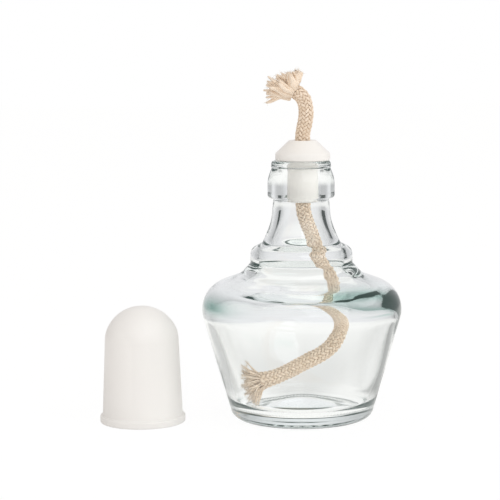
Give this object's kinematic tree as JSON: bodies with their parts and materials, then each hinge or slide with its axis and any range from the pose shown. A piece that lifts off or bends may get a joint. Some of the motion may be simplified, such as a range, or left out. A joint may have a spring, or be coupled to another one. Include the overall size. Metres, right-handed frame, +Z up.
{
  "type": "spirit lamp",
  "caption": "Glass spirit lamp with a waisted bottle, a porcelain wick holder resting in its neck, a braided cotton wick with frayed ends, and a white snuffer cap standing beside it.",
  "frame": {"origin": "centre of the bottle's foot, on the surface that the lamp stands on", "axes": "+Z up along the bottle's axis; the snuffer cap stands towards -X; the picture looks along +Y"},
  "size_m": [0.121, 0.08, 0.1407],
  "materials": {
    "clear_glass": "fire-polished clear soda-lime glass with a faint green cast",
    "porcelain": "warm white glazed porcelain",
    "cotton": "unbleached braided cotton",
    "white_plastic": "satin moulded white plastic"
  },
  "bodies": {
    "bottle": {"bottle_body": "clear_glass", "bottle_neck": "clear_glass"},
    "holder": {"wick_holder": "porcelain"},
    "wick": {"wick_jacket_top": "cotton", "wick_jacket_seat": "cotton", "wick_jacket_tail": "cotton", "wick_core_top": "cotton", "wick_core_seat": "cotton", "wick_core_tail": "cotton", "wick_fray_top": "cotton", "wick_fray_tail": "cotton"},
    "cap": {"snuffer_cap": "white_plastic"}
  },
  "joints": [
    {"name": "holder_lift", "type": "slide", "parent": "bottle", "child": "holder", "axis": [0, 0, 1], "range_m": [0, 0.022], "deforming": ["wick_jacket_tail", "wick_core_tail", "wick_fray_tail"]},
    {"name": "wick_feed", "type": "slide", "parent": "holder", "child": "wick", "axis": [0, 0, 1], "range_m": [0, 0.008], "deforming": ["wick_jacket_tail", "wick_core_tail", "wick_fray_tail"]},
    {"name": "cap_lift", "type": "slide", "parent": "bottle", "child": "cap", "axis": [0, 0, 1], "range_m": [0, 0.15]}
  ]
}
